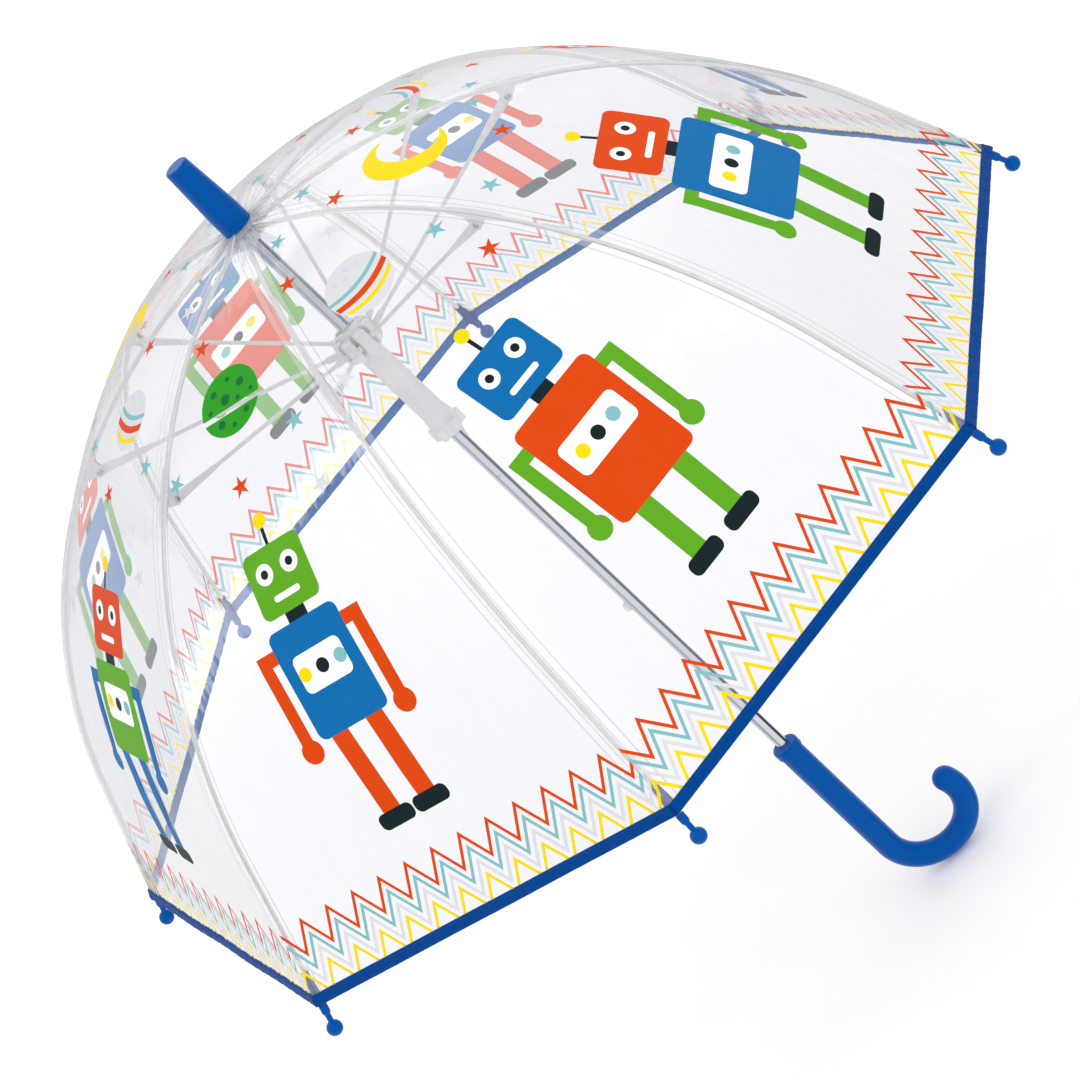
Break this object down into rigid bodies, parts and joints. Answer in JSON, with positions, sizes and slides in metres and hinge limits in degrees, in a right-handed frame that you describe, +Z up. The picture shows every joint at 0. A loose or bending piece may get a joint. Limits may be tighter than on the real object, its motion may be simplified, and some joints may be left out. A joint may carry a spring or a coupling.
{
  "type": "umbrella",
  "caption": "Children's dome umbrella with clear printed panels, bound rim, folding ribs and stretchers on a sliding runner, ball tips, tapered ferrule and hook handle.",
  "frame": {"origin": "on the shaft's axis at the foot of the ferrule, where it stands on the canopy's crown", "axes": "+Z up along the shaft towards the ferrule's end; the handle's hook opens towards +X, and rib 1 lies towards +X"},
  "size_m": [0.7076, 0.7076, 0.6935],
  "materials": {
    "blue_plastic": "smooth moulded plastic, soft gloss",
    "blue_binding": "woven binding tape",
    "clear_film": "clear flexible film with printed shapes",
    "chrome_tube": "polished plated tube",
    "white_plastic": "translucent white moulding",
    "coated_rod": "white coating",
    "steel_wire": "bare steel"
  },
  "bodies": {
    "shaft": {"shaft": "chrome_tube", "handle": "blue_plastic", "ferrule": "blue_plastic", "crown": "white_plastic", "crown_wire": "steel_wire", "canopy_collar": "clear_film", "spring_rivet": "steel_wire", "hem_binding": "blue_binding"},
    "runner": {"runner": "white_plastic", "runner_wire": "steel_wire"},
    "bottom_catch": {"bottom_catch": "white_plastic"},
    "top_catch": {"top_catch": "white_plastic"},
    "rib_upper_1": {"rib_upper_1": "coated_rod"},
    "rib_lower_1": {"rib_lower_1": "coated_rod", "tip_1": "blue_plastic"},
    "stretcher_1": {"stretcher_1": "coated_rod"},
    "canopy_upper_1": {"canopy_upper_1": "clear_film"},
    "canopy_lower_1": {"canopy_lower_1": "clear_film"},
    "rib_upper_2": {"rib_upper_2": "coated_rod"},
    "rib_lower_2": {"rib_lower_2": "coated_rod", "tip_2": "blue_plastic"},
    "stretcher_2": {"stretcher_2": "coated_rod"},
    "canopy_upper_2": {"canopy_upper_2": "clear_film"},
    "canopy_lower_2": {"canopy_lower_2": "clear_film"},
    "rib_upper_3": {"rib_upper_3": "coated_rod"},
    "rib_lower_3": {"rib_lower_3": "coated_rod", "tip_3": "blue_plastic"},
    "stretcher_3": {"stretcher_3": "coated_rod"},
    "canopy_upper_3": {"canopy_upper_3": "clear_film"},
    "canopy_lower_3": {"canopy_lower_3": "clear_film"},
    "rib_upper_4": {"rib_upper_4": "coated_rod"},
    "rib_lower_4": {"rib_lower_4": "coated_rod", "tip_4": "blue_plastic"},
    "stretcher_4": {"stretcher_4": "coated_rod"},
    "canopy_upper_4": {"canopy_upper_4": "clear_film"},
    "canopy_lower_4": {"canopy_lower_4": "clear_film"},
    "rib_upper_5": {"rib_upper_5": "coated_rod"},
    "rib_lower_5": {"rib_lower_5": "coated_rod", "tip_5": "blue_plastic"},
    "stretcher_5": {"stretcher_5": "coated_rod"},
    "canopy_upper_5": {"canopy_upper_5": "clear_film"},
    "canopy_lower_5": {"canopy_lower_5": "clear_film"},
    "rib_upper_6": {"rib_upper_6": "coated_rod"},
    "rib_lower_6": {"rib_lower_6": "coated_rod", "tip_6": "blue_plastic"},
    "stretcher_6": {"stretcher_6": "coated_rod"},
    "canopy_upper_6": {"canopy_upper_6": "clear_film"},
    "canopy_lower_6": {"canopy_lower_6": "clear_film"},
    "rib_upper_7": {"rib_upper_7": "coated_rod"},
    "rib_lower_7": {"rib_lower_7": "coated_rod", "tip_7": "blue_plastic"},
    "stretcher_7": {"stretcher_7": "coated_rod"},
    "canopy_upper_7": {"canopy_upper_7": "clear_film"},
    "canopy_lower_7": {"canopy_lower_7": "clear_film"},
    "rib_upper_8": {"rib_upper_8": "coated_rod"},
    "rib_lower_8": {"rib_lower_8": "coated_rod", "tip_8": "blue_plastic"},
    "stretcher_8": {"stretcher_8": "coated_rod"},
    "canopy_upper_8": {"canopy_upper_8": "clear_film"},
    "canopy_lower_8": {"canopy_lower_8": "clear_film"}
  },
  "joints": [
    {"name": "runner_slide", "type": "slide", "parent": "shaft", "child": "runner", "axis": [0, 0, 1], "range_m": [-0.22033, 0], "deforming": ["canopy_upper_1", "canopy_upper_2", "canopy_upper_3", "canopy_upper_4", "canopy_upper_5", "canopy_upper_6", "canopy_upper_7", "canopy_upper_8", "canopy_lower_1", "canopy_lower_2", "canopy_lower_3", "canopy_lower_4", "canopy_lower_5", "canopy_lower_6", "canopy_lower_7", "canopy_lower_8", "hem_binding"]},
    {"name": "bottom_catch_press", "type": "slide", "parent": "shaft", "child": "bottom_catch", "axis": [1, 0, 0], "range_m": [0, 0.003]},
    {"name": "top_catch_press", "type": "slide", "parent": "shaft", "child": "top_catch", "axis": [-1, 0, 0], "range_m": [0, 0.0027]},
    {"name": "rib_fold_1", "type": "hinge", "parent": "shaft", "child": "rib_upper_1", "pos_m": [0.009, 0, -0.006], "axis": [0, 1, 0], "range_deg": [0, 64.52]},
    {"name": "rib_flex_1", "type": "hinge", "parent": "rib_upper_1", "child": "rib_lower_1", "pos_m": [0.22647, 0, -0.08948], "axis": [0, 1, 0], "range_deg": [-36.82, 0]},
    {"name": "stretcher_fold_1", "type": "hinge", "parent": "rib_upper_1", "child": "stretcher_1", "pos_m": [0.16307, 0, -0.05305], "axis": [0, 1, 0], "range_deg": [-129.12, 0]},
    {"name": "canopy_fold_1", "type": "hinge", "parent": "shaft", "child": "canopy_upper_1", "pos_m": [0.01109, 0.00459, -0.003], "axis": [-0.3827, 0.9239, 0], "range_deg": [0, 62.62]},
    {"name": "canopy_flex_1", "type": "hinge", "parent": "canopy_upper_1", "child": "canopy_lower_1", "pos_m": [0.19502, 0.08078, -0.08725], "axis": [-0.3827, 0.9239, 0], "range_deg": [-37.02, 0]},
    {"name": "rib_fold_2", "type": "hinge", "parent": "shaft", "child": "rib_upper_2", "pos_m": [0.00636, 0.00636, -0.006], "axis": [-0.7071, 0.7071, 0], "range_deg": [0, 64.52]},
    {"name": "rib_flex_2", "type": "hinge", "parent": "rib_upper_2", "child": "rib_lower_2", "pos_m": [0.16014, 0.16014, -0.08948], "axis": [-0.7071, 0.7071, 0], "range_deg": [-36.82, 0]},
    {"name": "stretcher_fold_2", "type": "hinge", "parent": "rib_upper_2", "child": "stretcher_2", "pos_m": [0.11531, 0.11531, -0.05305], "axis": [-0.7071, 0.7071, 0], "range_deg": [-129.12, 0]},
    {"name": "canopy_fold_2", "type": "hinge", "parent": "shaft", "child": "canopy_upper_2", "pos_m": [0.00459, 0.01109, -0.003], "axis": [-0.9239, 0.3827, 0], "range_deg": [0, 62.62]},
    {"name": "canopy_flex_2", "type": "hinge", "parent": "canopy_upper_2", "child": "canopy_lower_2", "pos_m": [0.08078, 0.19502, -0.08725], "axis": [-0.9239, 0.3827, 0], "range_deg": [-37.02, 0]},
    {"name": "rib_fold_3", "type": "hinge", "parent": "shaft", "child": "rib_upper_3", "pos_m": [0, 0.009, -0.006], "axis": [-1, 0, 0], "range_deg": [0, 64.52]},
    {"name": "rib_flex_3", "type": "hinge", "parent": "rib_upper_3", "child": "rib_lower_3", "pos_m": [0, 0.22647, -0.08948], "axis": [-1, 0, 0], "range_deg": [-36.82, 0]},
    {"name": "stretcher_fold_3", "type": "hinge", "parent": "rib_upper_3", "child": "stretcher_3", "pos_m": [0, 0.16307, -0.05305], "axis": [-1, 0, 0], "range_deg": [-129.12, 0]},
    {"name": "canopy_fold_3", "type": "hinge", "parent": "shaft", "child": "canopy_upper_3", "pos_m": [-0.00459, 0.01109, -0.003], "axis": [-0.9239, -0.3827, 0], "range_deg": [0, 62.62]},
    {"name": "canopy_flex_3", "type": "hinge", "parent": "canopy_upper_3", "child": "canopy_lower_3", "pos_m": [-0.08078, 0.19502, -0.08725], "axis": [-0.9239, -0.3827, 0], "range_deg": [-37.02, 0]},
    {"name": "rib_fold_4", "type": "hinge", "parent": "shaft", "child": "rib_upper_4", "pos_m": [-0.00636, 0.00636, -0.006], "axis": [-0.7071, -0.7071, 0], "range_deg": [0, 64.52]},
    {"name": "rib_flex_4", "type": "hinge", "parent": "rib_upper_4", "child": "rib_lower_4", "pos_m": [-0.16014, 0.16014, -0.08948], "axis": [-0.7071, -0.7071, 0], "range_deg": [-36.82, 0]},
    {"name": "stretcher_fold_4", "type": "hinge", "parent": "rib_upper_4", "child": "stretcher_4", "pos_m": [-0.11531, 0.11531, -0.05305], "axis": [-0.7071, -0.7071, 0], "range_deg": [-129.12, 0]},
    {"name": "canopy_fold_4", "type": "hinge", "parent": "shaft", "child": "canopy_upper_4", "pos_m": [-0.01109, 0.00459, -0.003], "axis": [-0.3827, -0.9239, 0], "range_deg": [0, 62.62]},
    {"name": "canopy_flex_4", "type": "hinge", "parent": "canopy_upper_4", "child": "canopy_lower_4", "pos_m": [-0.19502, 0.08078, -0.08725], "axis": [-0.3827, -0.9239, 0], "range_deg": [-37.02, 0]},
    {"name": "rib_fold_5", "type": "hinge", "parent": "shaft", "child": "rib_upper_5", "pos_m": [-0.009, 0, -0.006], "axis": [0, -1, 0], "range_deg": [0, 64.52]},
    {"name": "rib_flex_5", "type": "hinge", "parent": "rib_upper_5", "child": "rib_lower_5", "pos_m": [-0.22647, 0, -0.08948], "axis": [0, -1, 0], "range_deg": [-36.82, 0]},
    {"name": "stretcher_fold_5", "type": "hinge", "parent": "rib_upper_5", "child": "stretcher_5", "pos_m": [-0.16307, 0, -0.05305], "axis": [0, -1, 0], "range_deg": [-129.12, 0]},
    {"name": "canopy_fold_5", "type": "hinge", "parent": "shaft", "child": "canopy_upper_5", "pos_m": [-0.01109, -0.00459, -0.003], "axis": [0.3827, -0.9239, 0], "range_deg": [0, 62.62]},
    {"name": "canopy_flex_5", "type": "hinge", "parent": "canopy_upper_5", "child": "canopy_lower_5", "pos_m": [-0.19502, -0.08078, -0.08725], "axis": [0.3827, -0.9239, 0], "range_deg": [-37.02, 0]},
    {"name": "rib_fold_6", "type": "hinge", "parent": "shaft", "child": "rib_upper_6", "pos_m": [-0.00636, -0.00636, -0.006], "axis": [0.7071, -0.7071, 0], "range_deg": [0, 64.52]},
    {"name": "rib_flex_6", "type": "hinge", "parent": "rib_upper_6", "child": "rib_lower_6", "pos_m": [-0.16014, -0.16014, -0.08948], "axis": [0.7071, -0.7071, 0], "range_deg": [-36.82, 0]},
    {"name": "stretcher_fold_6", "type": "hinge", "parent": "rib_upper_6", "child": "stretcher_6", "pos_m": [-0.11531, -0.11531, -0.05305], "axis": [0.7071, -0.7071, 0], "range_deg": [-129.12, 0]},
    {"name": "canopy_fold_6", "type": "hinge", "parent": "shaft", "child": "canopy_upper_6", "pos_m": [-0.00459, -0.01109, -0.003], "axis": [0.9239, -0.3827, 0], "range_deg": [0, 62.62]},
    {"name": "canopy_flex_6", "type": "hinge", "parent": "canopy_upper_6", "child": "canopy_lower_6", "pos_m": [-0.08078, -0.19502, -0.08725], "axis": [0.9239, -0.3827, 0], "range_deg": [-37.02, 0]},
    {"name": "rib_fold_7", "type": "hinge", "parent": "shaft", "child": "rib_upper_7", "pos_m": [0, -0.009, -0.006], "axis": [1, 0, 0], "range_deg": [0, 64.52]},
    {"name": "rib_flex_7", "type": "hinge", "parent": "rib_upper_7", "child": "rib_lower_7", "pos_m": [0, -0.22647, -0.08948], "axis": [1, 0, 0], "range_deg": [-36.82, 0]},
    {"name": "stretcher_fold_7", "type": "hinge", "parent": "rib_upper_7", "child": "stretcher_7", "pos_m": [0, -0.16307, -0.05305], "axis": [1, 0, 0], "range_deg": [-129.12, 0]},
    {"name": "canopy_fold_7", "type": "hinge", "parent": "shaft", "child": "canopy_upper_7", "pos_m": [0.00459, -0.01109, -0.003], "axis": [0.9239, 0.3827, 0], "range_deg": [0, 62.62]},
    {"name": "canopy_flex_7", "type": "hinge", "parent": "canopy_upper_7", "child": "canopy_lower_7", "pos_m": [0.08078, -0.19502, -0.08725], "axis": [0.9239, 0.3827, 0], "range_deg": [-37.02, 0]},
    {"name": "rib_fold_8", "type": "hinge", "parent": "shaft", "child": "rib_upper_8", "pos_m": [0.00636, -0.00636, -0.006], "axis": [0.7071, 0.7071, 0], "range_deg": [0, 64.52]},
    {"name": "rib_flex_8", "type": "hinge", "parent": "rib_upper_8", "child": "rib_lower_8", "pos_m": [0.16014, -0.16014, -0.08948], "axis": [0.7071, 0.7071, 0], "range_deg": [-36.82, 0]},
    {"name": "stretcher_fold_8", "type": "hinge", "parent": "rib_upper_8", "child": "stretcher_8", "pos_m": [0.11531, -0.11531, -0.05305], "axis": [0.7071, 0.7071, 0], "range_deg": [-129.12, 0]},
    {"name": "canopy_fold_8", "type": "hinge", "parent": "shaft", "child": "canopy_upper_8", "pos_m": [0.01109, -0.00459, -0.003], "axis": [0.3827, 0.9239, 0], "range_deg": [0, 62.62]},
    {"name": "canopy_flex_8", "type": "hinge", "parent": "canopy_upper_8", "child": "canopy_lower_8", "pos_m": [0.19502, -0.08078, -0.08725], "axis": [0.3827, 0.9239, 0], "range_deg": [-37.02, 0]}
  ],
  "couplings": [
    {"joint": "rib_fold_1", "follows": "runner_slide", "rad_per_m": -5.1093},
    {"joint": "rib_flex_1", "follows": "runner_slide", "rad_per_m": 2.915},
    {"joint": "stretcher_fold_1", "follows": "runner_slide", "rad_per_m": 10.226},
    {"joint": "canopy_fold_1", "follows": "runner_slide", "rad_per_m": -4.9587},
    {"joint": "canopy_flex_1", "follows": "runner_slide", "rad_per_m": 2.9309},
    {"joint": "rib_fold_2", "follows": "runner_slide", "rad_per_m": -5.1093},
    {"joint": "rib_flex_2", "follows": "runner_slide", "rad_per_m": 2.915},
    {"joint": "stretcher_fold_2", "follows": "runner_slide", "rad_per_m": 10.226},
    {"joint": "canopy_fold_2", "follows": "runner_slide", "rad_per_m": -4.9587},
    {"joint": "canopy_flex_2", "follows": "runner_slide", "rad_per_m": 2.9309},
    {"joint": "rib_fold_3", "follows": "runner_slide", "rad_per_m": -5.1093},
    {"joint": "rib_flex_3", "follows": "runner_slide", "rad_per_m": 2.915},
    {"joint": "stretcher_fold_3", "follows": "runner_slide", "rad_per_m": 10.226},
    {"joint": "canopy_fold_3", "follows": "runner_slide", "rad_per_m": -4.9587},
    {"joint": "canopy_flex_3", "follows": "runner_slide", "rad_per_m": 2.9309},
    {"joint": "rib_fold_4", "follows": "runner_slide", "rad_per_m": -5.1093},
    {"joint": "rib_flex_4", "follows": "runner_slide", "rad_per_m": 2.915},
    {"joint": "stretcher_fold_4", "follows": "runner_slide", "rad_per_m": 10.226},
    {"joint": "canopy_fold_4", "follows": "runner_slide", "rad_per_m": -4.9587},
    {"joint": "canopy_flex_4", "follows": "runner_slide", "rad_per_m": 2.9309},
    {"joint": "rib_fold_5", "follows": "runner_slide", "rad_per_m": -5.1093},
    {"joint": "rib_flex_5", "follows": "runner_slide", "rad_per_m": 2.915},
    {"joint": "stretcher_fold_5", "follows": "runner_slide", "rad_per_m": 10.226},
    {"joint": "canopy_fold_5", "follows": "runner_slide", "rad_per_m": -4.9587},
    {"joint": "canopy_flex_5", "follows": "runner_slide", "rad_per_m": 2.9309},
    {"joint": "rib_fold_6", "follows": "runner_slide", "rad_per_m": -5.1093},
    {"joint": "rib_flex_6", "follows": "runner_slide", "rad_per_m": 2.915},
    {"joint": "stretcher_fold_6", "follows": "runner_slide", "rad_per_m": 10.226},
    {"joint": "canopy_fold_6", "follows": "runner_slide", "rad_per_m": -4.9587},
    {"joint": "canopy_flex_6", "follows": "runner_slide", "rad_per_m": 2.9309},
    {"joint": "rib_fold_7", "follows": "runner_slide", "rad_per_m": -5.1093},
    {"joint": "rib_flex_7", "follows": "runner_slide", "rad_per_m": 2.915},
    {"joint": "stretcher_fold_7", "follows": "runner_slide", "rad_per_m": 10.226},
    {"joint": "canopy_fold_7", "follows": "runner_slide", "rad_per_m": -4.9587},
    {"joint": "canopy_flex_7", "follows": "runner_slide", "rad_per_m": 2.9309},
    {"joint": "rib_fold_8", "follows": "runner_slide", "rad_per_m": -5.1093},
    {"joint": "rib_flex_8", "follows": "runner_slide", "rad_per_m": 2.915},
    {"joint": "stretcher_fold_8", "follows": "runner_slide", "rad_per_m": 10.226},
    {"joint": "canopy_fold_8", "follows": "runner_slide", "rad_per_m": -4.9587},
    {"joint": "canopy_flex_8", "follows": "runner_slide", "rad_per_m": 2.9309}
  ]
}
